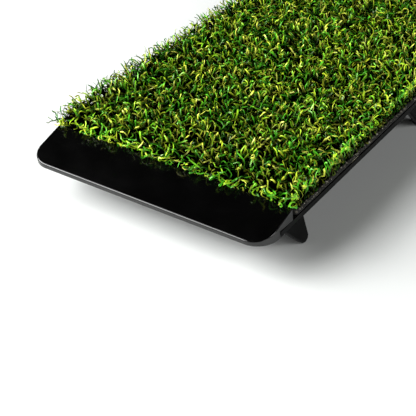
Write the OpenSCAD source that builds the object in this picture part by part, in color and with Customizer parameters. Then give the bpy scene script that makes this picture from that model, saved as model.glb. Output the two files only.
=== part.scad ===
// Golf hitting mat: a turf strip on a stiff black board that stands on raked fins, with a ramp at
// each end. The origin is on the floor under the middle of the mat. +Y runs along the mat from its
// front ramp to its rear one, +X is to the right and +Z is up. All sizes are in millimetres.

/* [Board] */
// Width of the mat
mat_w = 200; // [160:5:260]
// Length of the mat, ramp nose to ramp nose
mat_l = 460; // [380:10:600]
// Thickness of the board
board_t = 5; // [5:1:8]
// Radius of the board's rounded edges
board_rim = 0.5; // [0.4:0.1:1.5]

/* [Ramps] */
// Length of a ramp along the mat
ramp_l = 35.6; // [32:0.1:50]
// Height of a ramp's rear edge above the board's underside
ramp_h = 13.8; // [11:0.1:14]
// Height of a ramp's nose above the board's underside
nose_h = 3.6; // [3:0.1:5]
// Gap that the nose leaves under itself, above the board's underside
nose_lift = 0.1; // [0:0.1:1]
// Depth of the solid nose in front of the board's end
nose_l = 20; // [18:1:24]
// Radius of a ramp's corners, seen from above
corner_r = 17; // [16:1:18]
// Radius of a ramp's top edges
ramp_rim = 1.2; // [0.5:0.1:2]
// Lean of a ramp's side walls
ramp_draft = 6; // [2:1:8]

/* [Turf] */
// Gap between a ramp and the turf
turf_gap = 5; // [1:0.5:10]
// Thickness of the glue sheet
glue_t = 0.4; // [0.2:0.1:1]
// Thickness of the foam sheet
foam_t = 1.4; // [1:0.1:6]
// Thickness of the woven and coated backing
backing_t = 2.6; // [1.5:0.1:4]
// Height of the pile above its backing
pile_h = 17; // [10:0.5:25]
// How far the sheets stop short of the board's side
sheet_inset = 0.6; // [0:0.1:3]
// How far the pile's solid core stops short of the board's side
pile_inset = 1.5; // [0.5:0.5:5]

/* [Legs] */
// Height of the board's underside above the floor
leg_h = 25; // [15:0.5:35]
// Thickness of a leg's fin
fin_t = 5; // [4:0.5:8]
// Length of a fin where it meets the board
fin_l = 25; // [20:1:35]
// How far a fin's tip lies behind the front of its top
fin_rake = 29; // [15:1:35]
// Radius of a fin's tip
tip_r = 4.5; // [4:0.5:8]
// Bevel round a fin's outer face
fin_bevel = 1; // [0.5:0.1:1.5]
// Distance from the mat's end to its first leg
leg_start = 26; // [24:1:40]
// Number of leg pairs
leg_pairs = 3; // [3:1:3]

/* [Screws] */
// Diameter of a screw's shank
screw_d = 2.9; // [2.5:0.1:3.5]
// Diameter of a countersunk head
head_d = 6.6; // [5.5:0.1:7]
// Height of a countersunk head
head_h = 2; // [1.5:0.1:2.5]
// Depth of a leg screw below the board
leg_bite = 7; // [5:0.5:8]
// Depth of a ramp screw above the board
ramp_bite = 4; // [3:0.1:4.5]

/* [Hidden] */

$fn = 64;
overlap = 0.01;
clearance = 0.05;
cut_run = 1;
moulding = [0.02, 0.02, 0.02];
board_colour = [0.06, 0.06, 0.055];
steel = [0.35, 0.35, 0.36];

// Levels above the floor
board_z = leg_h;
sheets_z = board_z + board_t;
foam_z = sheets_z + glue_t;
backing_z = foam_z + foam_t;
pile_z = backing_z + backing_t;

// Plan sizes
board_l = mat_l - 2 * nose_l;
turf_l = mat_l - 2 * (ramp_l + turf_gap);
ramp_slope = atan((ramp_h - nose_h) / ramp_l);
seam_step = 0.1;
ramp_inset = seam_step + (ramp_h - board_t) * tan(ramp_draft);
pile_corner_r = 9;
pile_rim = 3;
pile_draft = 4;
sheet_corner_r = 3;

// Legs: a fin at the side of the board, with a flange inside it and a rib at the rear screw
leg_pitch = (mat_l - 2 * leg_start - fin_l) / (leg_pairs - 1);
flat_depth = 0.4;
tip_z = tip_r - flat_depth;
flange_w = 20;
flange_t = 4;
flange_setback = 1;
boss_d = 8;
boss_h = 9;
rib_t = 4;
rib_drop = 10;
screw_inset = 6;
boss_setback = 1;
screw_run = flange_w - boss_d / 2 - boss_setback;
leg_screw_y = [screw_inset, fin_l - screw_inset];

// Cross recess in a screw's head
recess_l = 0.45 * head_d;
recess_w = 0.12 * head_d;
recess_depth = 0.45 * head_h;

// Ramp screws stand in a row along the middle of the board's tongue under each ramp
ramp_screw_pitch = 0.22 * mat_w;
ramp_screw_x = [for (k = [-1.5, -0.5, 0.5, 1.5]) k * ramp_screw_pitch];
ramp_screw_y = (nose_l + ramp_l) / 2;

// The half outline, from the middle outwards, of a slab with leaning sides and rounded top edges
module slab_half(half_w, t, rim, draft) {
    top_w = half_w - t * tan(draft);
    reach = rim * tan((90 - draft) / 2);
    polygon([
        [0, 0], [half_w, 0],
        [top_w + reach * sin(draft), t - reach * cos(draft)],
        [top_w - reach, t - rim],
        [top_w - reach, t], [0, t]
    ]);
    translate([top_w - reach, t - rim]) circle(rim);
}

module slab_bar(half_w, run, t, rim, draft) {
    for (side = [0, 1])
        mirror([side, 0, 0])
            rotate([90, 0, 0])
                translate([-overlap, 0, -run / 2])
                    linear_extrude(run) slab_half(half_w + overlap, t, rim, draft);
}

// A slab with its corners rounded in plan
module soft_slab(w, l, t, corner, rim, draft) {
    slab_bar(w / 2, l - 2 * corner, t, rim, draft);
    rotate(90) slab_bar(l / 2, w - 2 * corner, t, rim, draft);
    for (x = [-1, 1], y = [-1, 1])
        translate([x * (w / 2 - corner), y * (l / 2 - corner), 0])
            rotate_extrude() slab_half(corner, t, rim, draft);
}

module sheet(w, l, t) {
    linear_extrude(t) {
        square([w, l - 2 * sheet_corner_r], center = true);
        square([w - 2 * sheet_corner_r, l], center = true);
        for (x = [-1, 1], y = [-1, 1])
            translate([x * (w / 2 - sheet_corner_r), y * (l / 2 - sheet_corner_r)])
                circle(sheet_corner_r);
    }
}

// A countersunk screw along +Z, its head's flat face at z = 0, with a cross recess for the driver
module screw(length) {
    difference() {
        union() {
            cylinder(h = head_h, d1 = head_d, d2 = screw_d);
            cylinder(h = length, d = screw_d);
        }
        for (turn = [0, 90])
            rotate(turn) cube([recess_l, recess_w, 2 * recess_depth], center = true);
    }
}

// The hole that a screw and its head need, opening at z = 0
module screw_hole(depth) {
    translate([0, 0, -cut_run])
        cylinder(h = depth + cut_run, d = screw_d + 2 * clearance);
    cylinder(h = head_h, d1 = head_d + 2 * clearance, d2 = screw_d + 2 * clearance);
    translate([0, 0, -cut_run])
        cylinder(h = cut_run, d = head_d + 2 * clearance);
}

function leg_y(pair) = -mat_l / 2 + leg_start + pair * leg_pitch;
function leg_screw_x() = mat_w / 2 - fin_t - screw_run;

// Each end's own frame: y = 0 at the nose, running inwards, and z = 0 at the board's underside
module at_end(rear) {
    rotate(rear ? 180 : 0) translate([0, -mat_l / 2, board_z]) children();
}

module at_ramp_screws(rear) {
    at_end(rear)
        for (x = ramp_screw_x) translate([x, ramp_screw_y, 0]) children();
}

// side is 1 on the right and 0 on the left. y = 0 is the front of the fin's top.
module at_leg(side, pair) {
    translate([0, leg_y(pair), 0]) mirror([1 - side, 0, 0]) children();
}

module at_leg_screws(side, pair) {
    at_leg(side, pair)
        for (y = leg_screw_y)
            translate([leg_screw_x(), y, sheets_z]) rotate([180, 0, 0]) children();
}

module board() {
    color(board_colour) difference() {
        translate([0, 0, board_z]) rotate([90, 0, 0]) translate([0, 0, -board_l / 2])
            linear_extrude(board_l) {
                translate([-mat_w / 2, board_rim]) square([mat_w, board_t - 2 * board_rim]);
                translate([-mat_w / 2 + board_rim, 0]) square([mat_w - 2 * board_rim, board_t]);
                for (x = [-1, 1], z = [board_rim, board_t - board_rim])
                    translate([x * (mat_w / 2 - board_rim), z]) circle(board_rim);
            }
        for (rear = [false, true]) at_ramp_screws(rear) screw_hole(board_t + cut_run);
        for (side = [0, 1], pair = [0:leg_pairs - 1])
            at_leg_screws(side, pair) screw_hole(board_t + cut_run);
    }
}

// The ramp is the front of a longer slab, laid back at the ramp's slope and cut to a wedge
module ramp(rear) {
    slab_l = 4 * ramp_l;
    lean = ramp_h * tan(ramp_draft);
    color(moulding) difference() {
        at_end(rear) intersection() {
            rotate([90, 0, 90]) translate([0, 0, -mat_w / 2 - cut_run])
                linear_extrude(mat_w + 2 * cut_run)
                polygon([
                    [-cut_run, nose_lift], [nose_l, nose_lift], [nose_l, board_t],
                    [ramp_l, board_t], [ramp_l, 2 * ramp_h], [-cut_run, 2 * ramp_h]
                ]);
            translate([0, 0, nose_h]) rotate([ramp_slope, 0, 0])
                translate([0, slab_l / 2 - lean, -ramp_h])
                    soft_slab(mat_w - 2 * ramp_inset + 2 * lean, slab_l, ramp_h,
                        corner_r, ramp_rim, ramp_draft);
        }
        at_ramp_screws(rear)
            cylinder(h = board_t + ramp_bite + clearance, d = screw_d + 2 * clearance);
    }
}

module ramp_screws(rear) {
    color(steel) at_ramp_screws(rear) screw(board_t + ramp_bite);
}

module glue_sheet() {
    color([0.75, 0.72, 0.6]) translate([0, 0, sheets_z])
        sheet(mat_w - 4 * sheet_inset, turf_l - 2 * sheet_inset, glue_t);
}

module foam_sheet() {
    color([0.1, 0.1, 0.1]) translate([0, 0, foam_z])
        sheet(mat_w - 2 * sheet_inset, turf_l, foam_t);
}

module turf_backing() {
    color([0.2, 0.19, 0.16]) translate([0, 0, backing_z])
        sheet(mat_w - 2 * sheet_inset, turf_l, backing_t);
}

module turf_pile() {
    half_w = mat_w / 2 - pile_inset - pile_corner_r;
    half_l = turf_l / 2 - pile_inset - pile_corner_r;
    color([0.18, 0.4, 0.08]) translate([0, 0, pile_z]) hull()
        for (x = [-half_w, half_w], y = [-half_l, half_l])
            translate([x, y, 0])
                rotate_extrude($fn = 32) slab_half(pile_corner_r, pile_h, pile_rim, pile_draft);
}

// The fin's outline with its edges drawn in by inset: y is along the mat and z above the floor
module fin_outline(inset) {
    tip = [fin_rake, tip_z];
    front = [inset / sin(edge_angle(0, 1)), board_z];
    rear = [fin_l - inset / sin(edge_angle(fin_l, -1)), board_z];
    polygon([front, edge_touch(front, tip, tip_r - inset, 1), tip,
        edge_touch(rear, tip, tip_r - inset, -1), rear]);
    translate(tip) circle(tip_r - inset);
}

// Where a line from a corner touches the tip's circle, on its side away from the fin
function edge_touch(corner, tip, r, turn) =
    let (
        gap = norm(corner - tip),
        heading = atan2(corner.y - tip.y, corner.x - tip.x),
        swing = acos(r / gap)
    )
    tip + r * [cos(heading + turn * swing), sin(heading + turn * swing)];

// How steeply an edge of the fin runs from its top at y down to the tip's circle
function edge_angle(y, turn) =
    atan2(board_z - tip_z, fin_rake - y)
    + turn * asin(tip_r / norm([fin_rake - y, board_z - tip_z]));

module fin() {
    translate([mat_w / 2 - fin_t, 0, 0]) rotate([90, 0, 90]) hull() {
        linear_extrude(fin_t - fin_bevel) fin_outline(0);
        linear_extrude(fin_t) fin_outline(fin_bevel);
    }
}

module leg(side, pair) {
    flange_l = fin_l - 2 * flange_setback;
    inner_x = mat_w / 2 - fin_t;
    color(moulding) at_leg(side, pair) difference() {
        union() {
            intersection() {
                fin();
                translate([0, -mat_w, 0]) cube([mat_w, 2 * mat_w, board_z]);
            }
            translate([inner_x - flange_w, flange_setback, board_z - flange_t])
                cube([flange_w + overlap, flange_l, flange_t]);
            for (y = leg_screw_y)
                translate([leg_screw_x(), y, board_z - boss_h]) cylinder(h = boss_h, d = boss_d);
            translate([inner_x + overlap, leg_screw_y[1] + rib_t / 2, board_z - flange_t + overlap])
                rotate([90, 0, 0]) linear_extrude(rib_t)
                    polygon([[0, 0], [-flange_w + flange_setback, 0], [0, -rib_drop]]);
        }
        for (y = leg_screw_y)
            translate([leg_screw_x(), y, board_z - leg_bite - clearance])
                cylinder(h = leg_bite + cut_run, d = screw_d + 2 * clearance);
    }
}

module leg_screws(side, pair) {
    color(steel) at_leg_screws(side, pair) screw(board_t + leg_bite);
}

board();
ramp(false);  // front_ramp
ramp(true);  // rear_ramp
ramp_screws(false);  // front_ramp_screws
ramp_screws(true);  // rear_ramp_screws
glue_sheet();
foam_sheet();
turf_backing();
turf_pile();
leg(0, 0);  // front_left_leg
leg(1, 0);  // front_right_leg
leg(0, 1);  // middle_left_leg
leg(1, 1);  // middle_right_leg
leg(0, 2);  // rear_left_leg
leg(1, 2);  // rear_right_leg
leg_screws(0, 0);  // front_left_leg_screws
leg_screws(1, 0);  // front_right_leg_screws
leg_screws(0, 1);  // middle_left_leg_screws
leg_screws(1, 1);  // middle_right_leg_screws
leg_screws(0, 2);  // rear_left_leg_screws
leg_screws(1, 2);  // rear_right_leg_screws
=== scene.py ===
"""The looks of a golf hitting mat: curled turf, black plastics, fixings, a floor, soft light and a camera."""

import math

import bpy
import numpy as np
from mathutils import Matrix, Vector


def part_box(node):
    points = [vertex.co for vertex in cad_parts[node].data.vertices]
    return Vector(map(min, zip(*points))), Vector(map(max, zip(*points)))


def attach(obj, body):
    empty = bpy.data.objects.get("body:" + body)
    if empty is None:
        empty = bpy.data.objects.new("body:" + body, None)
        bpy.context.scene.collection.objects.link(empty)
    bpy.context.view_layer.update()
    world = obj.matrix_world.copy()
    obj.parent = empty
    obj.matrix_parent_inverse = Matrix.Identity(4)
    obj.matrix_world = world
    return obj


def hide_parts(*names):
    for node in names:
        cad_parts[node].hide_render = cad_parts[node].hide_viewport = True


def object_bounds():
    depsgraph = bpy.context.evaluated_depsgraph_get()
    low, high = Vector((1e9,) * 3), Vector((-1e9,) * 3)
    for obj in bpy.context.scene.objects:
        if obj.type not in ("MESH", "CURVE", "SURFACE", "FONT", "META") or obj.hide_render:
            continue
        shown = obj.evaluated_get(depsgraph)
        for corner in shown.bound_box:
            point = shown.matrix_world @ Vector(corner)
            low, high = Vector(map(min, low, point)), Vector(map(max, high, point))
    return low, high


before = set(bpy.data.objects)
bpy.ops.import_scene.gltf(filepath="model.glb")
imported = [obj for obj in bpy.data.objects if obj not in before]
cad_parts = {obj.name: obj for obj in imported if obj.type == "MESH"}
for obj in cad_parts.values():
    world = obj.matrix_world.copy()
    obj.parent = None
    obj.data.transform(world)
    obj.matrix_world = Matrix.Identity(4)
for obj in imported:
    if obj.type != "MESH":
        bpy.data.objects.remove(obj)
cad_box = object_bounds()

# Lengths are in metres, unless a comment says otherwise
MM = 0.001

# Tufts stand in staggered rows. Each strays a little, and so does each ribbon's root from its tuft.
TUFT_SPACING = 5.0 * MM
FIRST_TUFT = 0.4 * TUFT_SPACING
TUFT_STRAY = 0.14 * TUFT_SPACING
ROOT_STRAY = 0.8 * MM
ROOT_DEPTH = 0.3 * MM
ROOT_INSET = (0.8 * MM, 0.5 * MM)

# Pile stands at full height and thatch fills its lower part. curl is the bend in radians a metre, lift turns
# a ribbon upwards, and reach is a share of the pile's height.
PILE = {"per_tuft": 9, "steps": 21, "curl": (420, 1100), "lift": 0.36, "reach": 1.0, "width": 1.05 * MM}
THATCH = {"per_tuft": 2, "steps": 11, "curl": (350, 800), "lift": 0.25, "reach": 0.6, "width": 1.0 * MM}
THATCH_INSET = 9 * MM
TOP_ABOVE_SOLID = 1.5 * MM
WIDTH_SPREAD = (0.7, 1.15)
BANDS = 20

# Along a ribbon: its step, its crimps' length and its twist in radians a metre, then how its bend wanders and
# swings, and how much of it there is at the root and more at each step
STEP = 1.0 * MM
CRIMP_LENGTH = (4 * MM, 8 * MM)
TWIST = 110
BEND_WANDER = 0.33
BEND_MEAN, BEND_SWING = 0.45, 0.8
ROOT_BEND, BEND_GROWTH = 0.3, 0.2

# Across a ribbon: a ring's corners, its middle's height over its edges as a share of half its width, and how
# its tip narrows
RING = 3
RIDGE = 0.5
TIP_TAPER = (0.95, 0.8, 0.3)

# Each ribbon is held near its own share of the pile's height, and nods over from just below it
LIMIT_MEAN, LIMIT_SPREAD, LIMIT_RANGE = 0.93, 0.11, (0.6, 1.08)
NOD_FROM, NOD = 0.84, 2.4

# Slopes: the whole pile's nap in x and y, and how far ribbons rooted in a band along an edge lean out over
# it. A ribbon starts out along its slope, with some spread, and is pulled along it at each step.
NAP = (-0.22, -0.04)
LEFT_LEAN, RIGHT_LEAN, END_LEAN = 0.75, 0.3, 0.5
LEFT_BAND, RIGHT_BAND, END_BAND = 16 * MM, 5 * MM, 8 * MM
LEFT_EXTRA_HEIGHT = 2.6 * MM
LEAN_SPREAD, LEAN_PULL = 0.28, 0.10

# Soft fences, this far outside the backing, that turn the ribbons back, and the widths over which their pull
# builds up
LEFT_REACH, RIGHT_REACH, END_REACH = 12 * MM, -0.6 * MM, 6.5 * MM
FENCE_PULL, FENCE_LIMIT = 0.8, 1.5
SIDE_FENCE, END_FENCE = 2 * MM, 3 * MM

# Over a ramp the ribbons lie clear of its top, and those too low to pass its edge stop short of it
NOSE_HEIGHT = 3.5 * MM
CLEAR = 0.9 * MM
GATE = 1.2 * MM

# Light on the ribbons: what an edge adds and how far inside it that begins, the light past each edge, and the
# distances over which it changes
EDGE_GAIN, EDGE_START = 0.2, 0.5
END_LIGHT, RIGHT_LIGHT, LEFT_LIGHT = 0.8, 0.62, 0.7
LIGHT_FADE, RIGHT_LIGHT_INSET = 4 * MM, 2 * MM

# Ribbon shades from dark to pale, the light below which painted shade makes them dark and above which
# they are bright, and how dark and dull that painted shade leaves the darkest
GREENS = [
    (0.0, (0.006, 0.035, 0.002)), (0.2, (0.05, 0.34, 0.01)), (0.38, (0.14, 0.76, 0.03)),
    (0.6, (0.50, 0.92, 0.03)), (0.8, (0.82, 0.98, 0.05)), (1.0, (0.94, 0.99, 0.14)),
]
BROWNS = [(0.0, (0.01, 0.03, 0.004)), (0.5, (0.04, 0.05, 0.006)), (1.0, (0.08, 0.045, 0.015))]
PILE_LIGHT, THATCH_LIGHT = (0.52, 0.86), (0.2, 1.0)
DEEPEST, DEPTH_POWER, DEPTH_SHINE = 0.02, 1.6, 0.75

# Sheets under the turf: the backing's cut size, and the profile of each cut edge as insets and heights from
# the underside, the height as a share of the thickness. MOST_OUT is how far an edge may pass its CAD part's.
SHEET_CORNER = 3 * MM
EDGE_PITCH = 1.4 * MM
MOST_OUT = 0.4 * MM
BACKING_EDGE = [
    (0.5 * MM, 0.0), (0.05 * MM, 0.12), (0.15 * MM, 0.35),
    (0.5 * MM, 0.5), (0.1 * MM, 0.7), (0.6 * MM, 1.0),
]
FOAM_EDGE = [(0.1 * MM, 0.0), (0.3 * MM, 0.5), (0.1 * MM, 1.0)]
GLUE_EDGE = [(0.2 * MM, 0.0), (0.0, 0.5), (0.3 * MM, 1.0)]
EDGE_WAVES = (7, 19, 43, 71)

# Loose threads round the backing. Their widths are in mm, and their step is a share of a ribbon's.
FRAYS = 2600
FRAY_STEPS, FRAY_STEP = 4, 0.4
FRAY_CURL = (300, 900)
FRAY_WIDTH = (0.25, 0.55)
FRAY_INSET, FRAY_PITCH = 0.5 * MM, 0.5 * MM
FRAY_HEIGHTS = (0.15, 0.95)
FRAY_RISE, FRAY_SPREAD = 0.1, 0.5

# Floor and studio. A lamp is its azimuth from +X towards +Y, its elevation and its watts.
FLOOR_HALF, FLOOR_DROP = 3.0, 0.02 * MM
LAMPS = [(210, 30, 33), (240, 30, 26), (210, 50, 10), (0, 30, 10), (330, 12, 3)]
LAMP_DISTANCE, LAMP_SIZE = 1.8, 0.8
STUDIO = (0.003, 0.003, 0.003, 1)

# Camera: lens and sensor in mm, yaw and downward pitch in degrees, and metres from the front right corner
LENS, SENSOR = 98.38, 36
YAW, PITCH = 33.34, 34.43
CAMERA_RIGHT, CAMERA_FRONT, CAMERA_HEIGHT = 0.2908, 0.509, 0.4611


def add_object(name, data):
    """A new object in the scene."""
    obj = bpy.data.objects.new(name, data)
    bpy.context.scene.collection.objects.link(obj)
    return obj


# ---------------------------------------------------------------- node helpers


class Nodes:
    """A material's node tree, with short calls for the nodes that this scene uses."""

    def __init__(self, name):
        self.material = bpy.data.materials.new(name)
        self.material.use_nodes = True
        self.tree = self.material.node_tree
        self.shader = self.tree.nodes["Principled BSDF"]
        self.place = self.new("ShaderNodeTexCoord").outputs["Object"]

    def new(self, kind):
        return self.tree.nodes.new(kind)

    def link(self, source, target):
        self.tree.links.new(source, target)

    def feed(self, target, value):
        """Links or sets an input: value is a socket, a number or a colour."""
        if isinstance(value, bpy.types.NodeSocket):
            self.link(value, target)
        elif isinstance(value, (int, float)):
            target.default_value = value
        else:
            target.default_value = (*value, 1)

    def ribbon(self):
        """Each ribbon's own shade, and the light along it."""
        own = self.new("ShaderNodeAttribute")
        own.attribute_name = "ribbon"
        parts = self.new("ShaderNodeSeparateColor")
        self.link(own.outputs["Color"], parts.inputs["Color"])
        return parts.outputs[0], parts.outputs[1]

    def stretched(self, x, y, z):
        """The place, scaled along each axis."""
        node = self.new("ShaderNodeMapping")
        self.link(self.place, node.inputs["Vector"])
        node.inputs["Scale"].default_value = (x, y, z)
        return node.outputs["Vector"]

    def noise(self, scale, detail=3.0, place=None):
        node = self.new("ShaderNodeTexNoise")
        self.link(place or self.place, node.inputs["Vector"])
        node.inputs["Scale"].default_value = scale
        node.inputs["Detail"].default_value = detail
        node.inputs["Roughness"].default_value = 0.55
        return node.outputs["Fac"]

    def cells(self, scale, feature="F1"):
        node = self.new("ShaderNodeTexVoronoi")
        node.feature = feature
        self.link(self.place, node.inputs["Vector"])
        node.inputs["Scale"].default_value = scale
        return node.outputs["Distance"]

    def bands(self, scale, axis):
        """Slightly wavy bands across an axis."""
        node = self.new("ShaderNodeTexWave")
        node.bands_direction = axis
        self.link(self.place, node.inputs["Vector"])
        node.inputs["Scale"].default_value = scale
        node.inputs["Distortion"].default_value = 2.0
        node.inputs["Detail Scale"].default_value = 3.0
        return node.outputs["Fac"]

    def spread(self, value, low, high, to_low=0.0, to_high=1.0):
        """value from low..high moved to to_low..to_high."""
        node = self.new("ShaderNodeMapRange")
        self.link(value, node.inputs["Value"])
        keys = ("From Min", "From Max", "To Min", "To Max")
        for key, number in zip(keys, (low, high, to_low, to_high)):
            node.inputs[key].default_value = number
        return node.outputs["Result"]

    def ramp(self, value, stops):
        node = self.new("ShaderNodeValToRGB")
        self.link(value, node.inputs["Fac"])
        elements = node.color_ramp.elements
        while len(elements) < len(stops):
            elements.new(0.5)
        for element, (place, colour) in zip(elements, stops):
            element.position = place
            element.color = (*colour, 1)
        return node.outputs["Color"]

    def mix(self, share, a, b, blend="MIX"):
        """Colour a moved to colour b by share."""
        node = self.new("ShaderNodeMix")
        node.data_type = "RGBA"
        node.blend_type = blend
        # The node has a set of sockets for each data type: inputs 6 and 7 and output 2 are the colours
        for socket, value in ((0, share), (6, a), (7, b)):
            self.feed(node.inputs[socket], value)
        return node.outputs[2]

    def maths(self, operation, a, b):
        node = self.new("ShaderNodeMath")
        node.operation = operation
        for socket, value in zip(node.inputs, (a, b)):
            self.feed(socket, value)
        return node.outputs[0]

    def bump(self, height, distance):
        node = self.new("ShaderNodeBump")
        self.link(height, node.inputs["Height"])
        node.inputs["Distance"].default_value = distance
        node.inputs["Strength"].default_value = 1.0
        self.link(node.outputs["Normal"], self.shader.inputs["Normal"])

    def colour(self, socket):
        self.link(socket, self.shader.inputs["Base Color"])

    def roughness(self, scale, detail, low, high):
        """Roughness from low to high, in soft patches."""
        patches = self.spread(self.noise(scale, detail), 0.3, 0.7, low, high)
        self.link(patches, self.shader.inputs["Roughness"])

    def fixed(self, **values):
        """Values on the shader's own sockets, their names with _ for a space."""
        for key, value in values.items():
            self.shader.inputs[key.replace("_", " ")].default_value = value


# ---------------------------------------------------------------- materials


def black_plastic(name, deep, pale, gloss, grain, specular):
    """Moulded black plastic: a fine grain, a few pale dust specks, and gloss that varies in patches."""
    n = Nodes(name)
    body = n.mix(n.spread(n.noise(38, 4), 0.35, 0.7), deep, pale)
    specks = n.spread(n.cells(420), 0.05, 0.09, 1, 0)
    sparse = n.spread(n.noise(160, 2), 0.6, 0.68)
    n.colour(n.mix(n.maths("MULTIPLY", specks, sparse), body, (0.02, 0.02, 0.02)))
    n.roughness(55, 5, gloss * 0.8, gloss * 1.2)
    n.bump(n.noise(2600, 2), grain)
    n.fixed(Specular_IOR_Level=specular)
    return n.material


def ribbon_material(name, stops, light):
    """Turf ribbon: its own shade and a fine mottle, and painted shade from the light along it, which makes it
    dark and dull deep down and bright and glossy above.
    """
    n = Nodes(name)
    # height here is the light painted along each ribbon: its height in the pile, with more at the turf's
    # edges
    shade, height = n.ribbon()
    mottle = n.spread(n.noise(1900, 2), 0.3, 0.7, 0.72, 1.15)
    # Painted shade: colour and shine are dimmed where that light is low, deep in the pile
    painted_shade = n.maths("POWER", n.spread(height, *light, DEEPEST, 1.0), DEPTH_POWER)
    scale = n.maths("MULTIPLY", mottle, painted_shade)
    grey = n.new("ShaderNodeCombineColor")
    for socket in grey.inputs[:3]:
        n.link(scale, socket)
    n.colour(n.mix(1.0, n.ramp(shade, stops), grey.outputs[0], "MULTIPLY"))
    n.roughness(700, 3, 0.2, 0.34)
    n.link(n.maths("MULTIPLY", painted_shade, DEPTH_SHINE), n.shader.inputs["Specular IOR Level"])
    n.bump(n.noise(5200, 2), 0.04 * MM)
    n.fixed(Specular_Tint=(0.9, 1.0, 0.58, 1))
    return n.material


def fray_material():
    """Backing thread: mostly dark, and about one in seven pale."""
    n = Nodes("backing_thread")
    base = n.ramp(n.ribbon()[0], [
        (0.0, (0.01, 0.01, 0.008)), (0.7, (0.05, 0.045, 0.03)),
        (0.86, (0.3, 0.27, 0.2)), (1.0, (0.8, 0.75, 0.62)),
    ])
    n.colour(n.mix(n.spread(n.noise(2500, 2), 0.35, 0.65, 0, 0.4), base, (0.02, 0.02, 0.015)))
    n.roughness(900, 2, 0.6, 0.8)
    n.bump(n.noise(6000, 2), 0.03 * MM)
    return n.material


def backing_material():
    """Woven backing with a dark latex coat: a weave of threads both ways, and pale specks of tuft ends."""
    n = Nodes("backing")
    threads = n.maths("MAXIMUM", n.bands(260, "X"), n.bands(260, "Y"))
    mottle = n.noise(480, 4)
    body = n.ramp(mottle, [
        (0.38, (0.003, 0.003, 0.002)), (0.5, (0.008, 0.008, 0.006)), (0.56, (0.03, 0.028, 0.02)),
        (0.61, (0.2, 0.185, 0.14)), (0.66, (0.7, 0.65, 0.54)),
    ])
    n.colour(n.mix(n.spread(threads, 0.2, 0.9, 0, 0.35), body, (0.012, 0.012, 0.01)))
    n.roughness(480, 4, 0.62, 0.85)
    n.bump(n.maths("ADD", threads, mottle), 0.25 * MM)
    return n.material


def foam_material():
    """Dark foam with fine open cells."""
    n = Nodes("foam")
    cells = n.cells(1500, "DISTANCE_TO_EDGE")
    n.colour(n.ramp(cells, [(0.0, (0.022, 0.022, 0.021)), (0.25, (0.008, 0.008, 0.008))]))
    n.roughness(300, 3, 0.75, 0.92)
    n.bump(cells, 0.15 * MM)
    return n.material


def glue_material():
    """Dried glue, yellowish and uneven."""
    n = Nodes("glue")
    n.colour(n.ramp(n.noise(90, 5), [(0.35, (0.5, 0.45, 0.3)), (0.7, (0.72, 0.68, 0.52))]))
    n.roughness(200, 3, 0.3, 0.55)
    n.bump(n.noise(350, 3), 0.1 * MM)
    return n.material


def steel_material():
    """Zinc plated steel: a fine mottle, and fine marks round the screws."""
    n = Nodes("screw_steel")
    n.colour(n.ramp(n.noise(900, 4), [(0.3, (0.36, 0.36, 0.37)), (0.7, (0.62, 0.62, 0.6))]))
    n.roughness(1500, 3, 0.25, 0.45)
    n.bump(n.noise(4000, 1, place=n.stretched(1, 1, 6)), 0.03 * MM)
    n.fixed(Metallic=1.0)
    return n.material


# ---------------------------------------------------------------- ribbons


def unit(v):
    return v / np.maximum(np.linalg.norm(v, axis=-1, keepdims=True), 1e-9)


def turned(v, axis, angle):
    """v turned about axis by angle, each a row of an array."""
    c, s = np.cos(angle)[:, None], np.sin(angle)[:, None]
    dot = (v * axis).sum(1, keepdims=True)
    return v * c + np.cross(axis, v) * s + axis * dot * (1 - c)


def crimped(rng, roots, heading, steps, curl, guide):
    """Centre lines and width directions of crimped ribbons, as arrays of ribbon, ring and xyz. curl is the
    range of bend in radians a metre, and guide(place, heading) bends and moves them at each step."""
    count = len(roots)
    place = roots.copy()
    axis = unit(np.cross(heading, unit(rng.normal(size=(count, 3)))))
    side = unit(np.cross(heading, unit(rng.normal(size=(count, 3)))))
    bend = rng.uniform(*curl, count)
    wave = 2 * math.pi * STEP / rng.uniform(*CRIMP_LENGTH, count)
    phase = rng.uniform(0, 2 * math.pi, count)
    twist = rng.normal(0, TWIST, count)
    lines, sides = [place.copy()], [side.copy()]
    for step in range(steps):
        axis = unit(axis + BEND_WANDER * rng.normal(size=(count, 3)))
        swing = BEND_MEAN + BEND_SWING * np.sin(wave * step + phase)
        strength = bend * swing * min(1, ROOT_BEND + BEND_GROWTH * step)
        heading = turned(heading, axis, strength * STEP)
        place, heading = guide(place, heading)
        side = side - heading * (side * heading).sum(1, keepdims=True)
        side = turned(unit(side), heading, twist * STEP)
        lines.append(place.copy())
        sides.append(side.copy())
    return np.stack(lines, 1), np.stack(sides, 1)


def ribbon_corners(lines, sides, width):
    """The corners of each ring: the ribbon's two edges and its raised middle between them."""
    tangent = unit(np.gradient(lines, axis=1))
    normal = unit(np.cross(sides, tangent))
    taper = np.ones(lines.shape[1])
    taper[-len(TIP_TAPER):] = TIP_TAPER
    half = 0.5 * width[:, None, None] * taper[None, :, None]
    return np.stack([lines - sides * half, lines + normal * half * RIDGE, lines + sides * half], 2)


def ribbon_faces(count, rings):
    """The quads round each ribbon and the triangles that close its ends, as corner numbers."""
    first = (np.arange(count)[:, None] * rings + np.arange(rings - 1)[None, :]).reshape(-1) * RING
    quads = np.concatenate([
        np.stack([first + a, first + b, first + b + RING, first + a + RING], 1)
        for a, b in ((0, 1), (1, 2), (2, 0))
    ])
    start = np.arange(count) * rings * RING
    end = start + (rings - 1) * RING
    caps = [np.stack([start + 2, start + 1, start], 1), np.stack([end, end + 1, end + 2], 1)]
    return quads, np.concatenate(caps)


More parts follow.
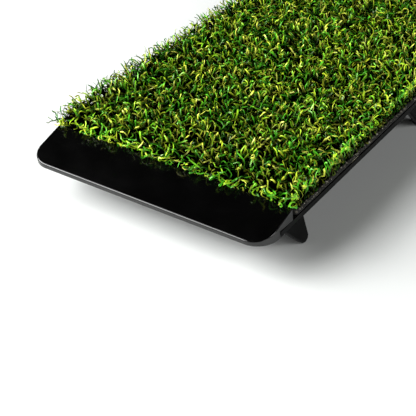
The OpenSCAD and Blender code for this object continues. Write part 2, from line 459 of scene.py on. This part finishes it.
def sharpen_rims(mesh):
    """Marks the two long edges of each ribbon as sharp, so that its front and back shade apart."""
    ends = np.zeros(len(mesh.edges) * 2, np.int32)
    mesh.edges.foreach_get("vertices", ends)
    corner = ends.reshape(-1, 2) % RING
    rim = (corner[:, 0] == corner[:, 1]) & (corner[:, 0] != 1)
    mesh.attributes.new("sharp_edge", "BOOLEAN", "EDGE").data.foreach_set("value", rim)


def ribbon_mesh(name, lines, sides, width, shade, light, material):
    """One mesh of closed ribbons, each a strip with a raised middle and a narrow tip."""
    count, rings = lines.shape[:2]
    quads, caps = ribbon_faces(count, rings)
    mesh = bpy.data.meshes.new(name)
    mesh.vertices.add(count * rings * RING)
    mesh.vertices.foreach_set("co", ribbon_corners(lines, sides, width).astype(np.float32).ravel())
    loops = np.concatenate([quads.ravel(), caps.ravel()]).astype(np.int32)
    mesh.loops.add(len(loops))
    mesh.loops.foreach_set("vertex_index", loops)
    sizes = np.concatenate([np.full(len(quads), 4), np.full(len(caps), 3)])
    mesh.polygons.add(len(sizes))
    mesh.polygons.foreach_set("loop_start", (np.cumsum(sizes) - sizes).astype(np.int32))
    mesh.update(calc_edges=True)
    mesh.polygons.foreach_set("use_smooth", np.ones(len(sizes), bool))
    sharpen_rims(mesh)
    colour = np.ones((count, rings, RING, 4), np.float32)
    colour[..., 0] = shade[:, None, None]
    colour[..., 1] = light[:, :, None]
    mesh.attributes.new("ribbon", "FLOAT_COLOR", "POINT").data.foreach_set("color", colour.ravel())
    mesh.materials.append(material)
    piece = add_object(name, mesh)
    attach(piece, "root")
    return piece


# ---------------------------------------------------------------- turf


def tuft_places(rng, low, high):
    """The tufts' middles, in staggered rows, a little off their places."""
    across = np.arange(low.x + FIRST_TUFT, high.x, TUFT_SPACING)
    along = np.arange(low.y + FIRST_TUFT, high.y, TUFT_SPACING)
    stagger = TUFT_SPACING * 0.5
    grid = np.array([(x + (row % 2) * stagger, y) for row, y in enumerate(along) for x in across])
    return grid + rng.normal(0, TUFT_STRAY, grid.shape)


def edge_lean(flat, low, high):
    """How far each ribbon leans, in x and y: the nap, and more near the turf's edges."""
    lean = np.tile(np.array(NAP), (len(flat), 1))
    for axis, to_low, low_band, to_high, high_band in (
        (0, LEFT_LEAN, LEFT_BAND, RIGHT_LEAN, RIGHT_BAND), (1, END_LEAN, END_BAND, END_LEAN, END_BAND),
    ):
        near_low = np.clip(1 - (flat[:, axis] - low[axis]) / low_band, 0, 1)
        near_high = np.clip(1 - (high[axis] - flat[:, axis]) / high_band, 0, 1)
        lean[:, axis] += to_high * near_high - to_low * near_low
    return lean


def fence(past, softness):
    """How hard a fence turns the ribbons back, from how far they are past it."""
    return FENCE_PULL * np.clip(past / softness, 0, FENCE_LIMIT)


def pile_guide(roots, lean, top, lift, low, high):
    """Keeps the ribbons within the pile's height and the mat's sides, and on top of the ramps."""
    ramp_low, ramp_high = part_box("front_ramp")
    ramp_end = -ramp_high.y
    slope = (ramp_high.z - ramp_low.z - NOSE_HEIGHT) / (ramp_high.y - ramp_low.y)
    gate = ramp_end - GATE
    left_limit, right_limit = low.x - LEFT_REACH, high.x + RIGHT_REACH

    def steer(place, heading):
        rise = (place[:, 2] - roots[:, 2]) / (top - roots[:, 2])
        heading = heading.copy()
        heading[:, 2] += lift * np.clip(1 - rise, 0, 1) ** 2 - NOD * np.clip(rise - NOD_FROM, 0, 1)
        heading[:, :2] += LEAN_PULL * lean
        heading[:, 0] -= fence(place[:, 0] - right_limit, SIDE_FENCE)
        heading[:, 0] += fence(left_limit - place[:, 0], SIDE_FENCE)
        past_end = fence(np.abs(place[:, 1]) - high.y - END_REACH, END_FENCE)
        heading[:, 1] -= past_end * np.sign(place[:, 1])
        return unit(heading)

    def clear_ramps(place):
        ramp_top = ramp_high.z + CLEAR - slope * np.clip(np.abs(place[:, 1]) - ramp_end, 0, None)
        low_over_ramp = (np.abs(place[:, 1]) > gate) & (place[:, 2] < ramp_top)
        stuck = low_over_ramp & (np.abs(place[:, 1]) < ramp_end + STEP)
        place[stuck, 1] = np.sign(place[stuck, 1]) * gate
        resting = low_over_ramp & ~stuck
        place[resting, 2] = ramp_top[resting]

    def guide(place, heading):
        heading = steer(place, heading)
        place = place + heading * STEP
        clear_ramps(place)
        place[:, 2] = np.maximum(place[:, 2], roots[:, 2])
        return place, heading

    return guide


def light_along(lines, root_z, top, low, high):
    """How much light reaches each point of the ribbons, from 0 deep in the pile to 1 at its top. More of it
    comes in at the turf's ends and right side, and past the left side it is even."""
    height = (lines[:, :, 2] - root_z) / (top - root_z)
    past_end = (np.abs(lines[:, :, 1]) - high.y) / LIGHT_FADE
    past_right = (lines[:, :, 0] - high.x + RIGHT_LIGHT_INSET) / LIGHT_FADE
    past_left = np.clip((low.x - lines[:, :, 0]) / LIGHT_FADE, 0, 1)
    light = height + EDGE_GAIN * (np.clip(np.maximum(past_end, past_right), -EDGE_START, 1) + EDGE_START)
    light = np.maximum(light, END_LIGHT * np.clip(2 * past_end, 0, 1))
    light = np.maximum(light, RIGHT_LIGHT * np.clip(2 * past_right, 0, 1))
    return np.clip(light + (LEFT_LIGHT - light) * past_left, 0, 1)


def ribbon_roots(rng, tufts, per_tuft, low, high, end_inset):
    """Roots in x and y, per_tuft of them round each tuft, none within end_inset of the turf's ends."""
    flat = np.repeat(tufts, per_tuft, axis=0) + rng.normal(0, ROOT_STRAY, (len(tufts) * per_tuft, 2))
    flat = np.clip(flat, np.array(low[:2]) + np.array(ROOT_INSET), np.array(high[:2]) - np.array(ROOT_INSET))
    return flat[np.abs(flat[:, 1]) < high.y - end_inset]


def make_ribbons(rng, tufts, kind, ribbon, end_inset, material):
    """The ribbons of one kind, in bands along the mat."""
    low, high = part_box("turf_backing")
    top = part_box("turf_pile")[1].z + TOP_ABOVE_SOLID
    root_z = high.z - ROOT_DEPTH
    flat = ribbon_roots(rng, tufts, ribbon["per_tuft"], low, high, end_inset)
    count = len(flat)
    roots = np.c_[flat, np.full(count, root_z)]
    lean = edge_lean(flat, low, high)
    heading = unit(np.c_[lean + rng.normal(0, LEAN_SPREAD, (count, 2)), np.ones(count)])
    share = np.clip(rng.normal(LIMIT_MEAN, LIMIT_SPREAD, count), *LIMIT_RANGE)
    limit = root_z + (top - root_z) * ribbon["reach"] * share
    limit += LEFT_EXTRA_HEIGHT * np.clip(1 - (flat[:, 0] - low.x) / LEFT_BAND, 0, 1)
    guide = pile_guide(roots, lean, limit, ribbon["lift"], low, high)
    lines, sides = crimped(rng, roots, heading, ribbon["steps"], ribbon["curl"], guide)
    shade = rng.random(count)
    light = light_along(lines, root_z, top, low, high)
    widths = ribbon["width"] * rng.uniform(*WIDTH_SPREAD, count)
    band = np.clip(((flat[:, 1] - low.y) / (high.y - low.y) * BANDS).astype(int), 0, BANDS - 1)
    for k in range(BANDS):
        p = band == k
        name = f"{kind}_band_{k + 1}"
        piece = ribbon_mesh(name, lines[p], sides[p], widths[p], shade[p], light[p], material)
        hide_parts("turf_pile")


def make_turf():
    """The curled pile, and the dark thatch low in it."""
    rng = np.random.default_rng(7)
    tufts = tuft_places(rng, *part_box("turf_backing"))
    pile_paint = ribbon_material("turf_ribbon", GREENS, PILE_LIGHT)
    thatch_paint = ribbon_material("thatch_ribbon", BROWNS, THATCH_LIGHT)
    make_ribbons(rng, tufts, "pile", PILE, 0, pile_paint)
    make_ribbons(rng, tufts, "thatch", THATCH, THATCH_INSET, thatch_paint)


# ---------------------------------------------------------------- backing, foam and glue


def outline(half_w, half_l, corner, pitch):
    """Points and outward directions round a rectangle with rounded corners, about pitch apart."""
    points, out = [], []
    arc_steps = max(3, int(corner * math.pi / 2 / pitch))
    for quarter, (sx, sy) in enumerate(((1, -1), (1, 1), (-1, 1), (-1, -1))):
        centre = (sx * (half_w - corner), sy * (half_l - corner))
        run = 2 * (half_l - corner) if quarter % 2 == 0 else 2 * (half_w - corner)
        begin = math.radians(-90 + 90 * quarter)
        for k in range(arc_steps):
            a = begin + math.pi / 2 * k / arc_steps
            points.append((centre[0] + corner * math.cos(a), centre[1] + corner * math.sin(a)))
            out.append((math.cos(a), math.sin(a)))
        a = begin + math.pi / 2
        steps = int(run / pitch)
        for k in range(steps):
            along = run * k / steps
            x = centre[0] + corner * math.cos(a) - along * math.sin(a)
            y = centre[1] + corner * math.sin(a) + along * math.cos(a)
            points.append((x, y))
            out.append((math.cos(a), math.sin(a)))
    return np.array(points), np.array(out)


def smooth_noise(rng, count, spans):
    """A wave round the outline, the sum of seeded waves with the given numbers of cycles."""
    t = np.arange(count) / count * 2 * math.pi
    total = sum(np.sin(t * n + rng.uniform(0, 6.3)) * rng.uniform(0.5, 1) for n in spans)
    return total / len(spans) ** 0.5


def cut_slab(name, node, profile, material, seed, waver, ragged):
    """A sheet that replaces its CAD node. Its cut edge has the profile's insets and heights, a slow waver and
    a ragged surface."""
    rng = np.random.default_rng(seed)
    low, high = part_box(node)
    points, out = outline(high.x, high.y, SHEET_CORNER, EDGE_PITCH)
    count = len(points)
    wander = waver * np.clip(smooth_noise(rng, count, EDGE_WAVES), -1, 1)
    rings = []
    for inset, height in profile:
        push = np.minimum(wander - inset + ragged * rng.normal(size=count), MOST_OUT)
        z = low.z + (high.z - low.z) * height
        rings.append(np.c_[points + out * push[:, None], np.full(count, z)])
    ring_ids = [np.arange(count) + k * count for k in range(len(rings))]
    faces = [tuple(ring_ids[0][::-1].tolist()), tuple(ring_ids[-1].tolist())]
    for a, b in zip(ring_ids, ring_ids[1:]):
        faces += [tuple(q) for q in np.stack([a, np.roll(a, -1), np.roll(b, -1), b], 1).tolist()]
    mesh = bpy.data.meshes.new(name)
    mesh.from_pydata(np.concatenate(rings).tolist(), [], faces)
    mesh.polygons.foreach_set("use_smooth", [False, False] + [True] * (len(faces) - 2))
    mesh.update()
    mesh.materials.append(material)
    piece = add_object(name, mesh)
    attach(piece, "root")
    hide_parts(node)
    return piece


def make_sheets():
    """The turf's backing, the foam under it and the glue under that."""
    backing = cut_slab(
        "backing_cloth", "turf_backing", BACKING_EDGE, backing_material(),
        seed=11, waver=0.25 * MM, ragged=0.10 * MM)
    foam = cut_slab(
        "foam_underlay", "foam_sheet", FOAM_EDGE, foam_material(),
        seed=12, waver=0.2 * MM, ragged=0.05 * MM)
    glue = cut_slab(
        "glue_film", "glue_sheet", GLUE_EDGE, glue_material(),
        seed=13, waver=0.4 * MM, ragged=0.03 * MM)


def make_frays():
    """Short ends of the backing's threads, which stick out all round its cut edge."""
    rng = np.random.default_rng(31)
    low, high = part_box("turf_backing")
    points, out = outline(high.x - FRAY_INSET, high.y - FRAY_INSET, SHEET_CORNER, FRAY_PITCH)
    pick = rng.integers(0, len(points), FRAYS)
    heights = low.z + (high.z - low.z) * rng.uniform(*FRAY_HEIGHTS, FRAYS)
    roots = np.c_[points[pick], heights]
    outward = np.c_[out[pick], rng.normal(FRAY_RISE, FRAY_SPREAD, FRAYS)]
    heading = unit(outward + rng.normal(0, FRAY_SPREAD, (FRAYS, 3)))

    def guide(place, heading):
        return place + heading * FRAY_STEP * STEP, heading

    lines, sides = crimped(rng, roots, heading, FRAY_STEPS, FRAY_CURL, guide)
    width = rng.uniform(*FRAY_WIDTH, FRAYS) * MM
    light = np.ones(lines.shape[:2])
    piece = ribbon_mesh("backing_frays", lines, sides, width, rng.random(FRAYS), light, fray_material())
    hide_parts("turf_backing")


# ---------------------------------------------------------------- finish on the CAD parts


def paint_cad_parts():
    """Plastics for the board, ramps and legs, and steel for the screws. The turf's nodes are replaced."""
    board = black_plastic(
        "board_plastic", (0.0015, 0.0015, 0.0014), (0.003, 0.003, 0.0028),
        gloss=0.24, grain=0.01 * MM, specular=0.07)
    ramp = black_plastic(
        "ramp_plastic", (0.0005, 0.0005, 0.0005), (0.001, 0.001, 0.001),
        gloss=0.15, grain=0.003 * MM, specular=0.55)
    leg = black_plastic(
        "leg_plastic", (0.0008, 0.0008, 0.0008), (0.0014, 0.0014, 0.0014),
        gloss=0.3, grain=0.01 * MM, specular=0.04)
    paints = {"board": board, "_ramp": ramp, "_leg": leg, "_screws": steel_material()}
    for node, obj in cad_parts.items():
        for ending, material in paints.items():
            if node.endswith(ending):
                obj.data.materials.clear()
                obj.data.materials.append(material)


# ---------------------------------------------------------------- floor, light and camera


def make_floor():
    """A wide pale floor, just under the mat's feet."""
    mesh = bpy.data.meshes.new("floor")
    square = ((-1, -1), (1, -1), (1, 1), (-1, 1))
    corners = [(x * FLOOR_HALF, y * FLOOR_HALF, -FLOOR_DROP) for x, y in square]
    mesh.from_pydata(corners, [], [(0, 1, 2, 3)])
    floor = add_object("floor", mesh)
    n = Nodes("floor")
    n.colour(n.ramp(n.noise(4, 3), [(0.3, (0.80, 0.82, 0.805)), (0.7, (0.82, 0.84, 0.825))]))
    n.fixed(Roughness=0.9, Specular_IOR_Level=0.1)
    mesh.materials.append(n.material)


def make_softbox(azimuth, elevation, power):
    """A square lamp that points at the mat's middle."""
    lamp = bpy.data.lights.new(f"softbox_{azimuth}_{elevation}", "AREA")
    lamp.shape = "RECTANGLE"
    lamp.size = lamp.size_y = LAMP_SIZE
    lamp.energy = power
    obj = add_object(lamp.name, lamp)
    a, e = math.radians(azimuth), math.radians(elevation)
    place = Vector((math.cos(e) * math.cos(a), math.cos(e) * math.sin(a), math.sin(e))) * LAMP_DISTANCE
    obj.location = place
    obj.rotation_euler = (Vector((0, 0, 0)) - place).to_track_quat("-Z", "Y").to_euler()


def make_camera():
    """A long lens above the front right corner, level side to side."""
    lens = bpy.data.cameras.new("camera")
    lens.sensor_width = SENSOR
    lens.lens = LENS
    camera = add_object("camera", lens)
    right, front = cad_box[1][0], cad_box[0][1]
    camera.location = (right + CAMERA_RIGHT, front - CAMERA_FRONT, CAMERA_HEIGHT)
    camera.rotation_euler = (math.pi / 2 - math.radians(PITCH), 0, math.radians(YAW))
    bpy.context.scene.camera = camera


def make_studio():
    """Five soft lamps in a dark room, with colours shown as they are."""
    for azimuth, elevation, power in LAMPS:
        make_softbox(azimuth, elevation, power)
    world = bpy.data.worlds.new("studio")
    world.use_nodes = True
    world.node_tree.nodes["Background"].inputs["Color"].default_value = STUDIO
    bpy.context.scene.world = world
    bpy.context.scene.view_settings.view_transform = "Standard"


paint_cad_parts()
make_sheets()
make_frays()
make_turf()
make_floor()
make_camera()
make_studio()
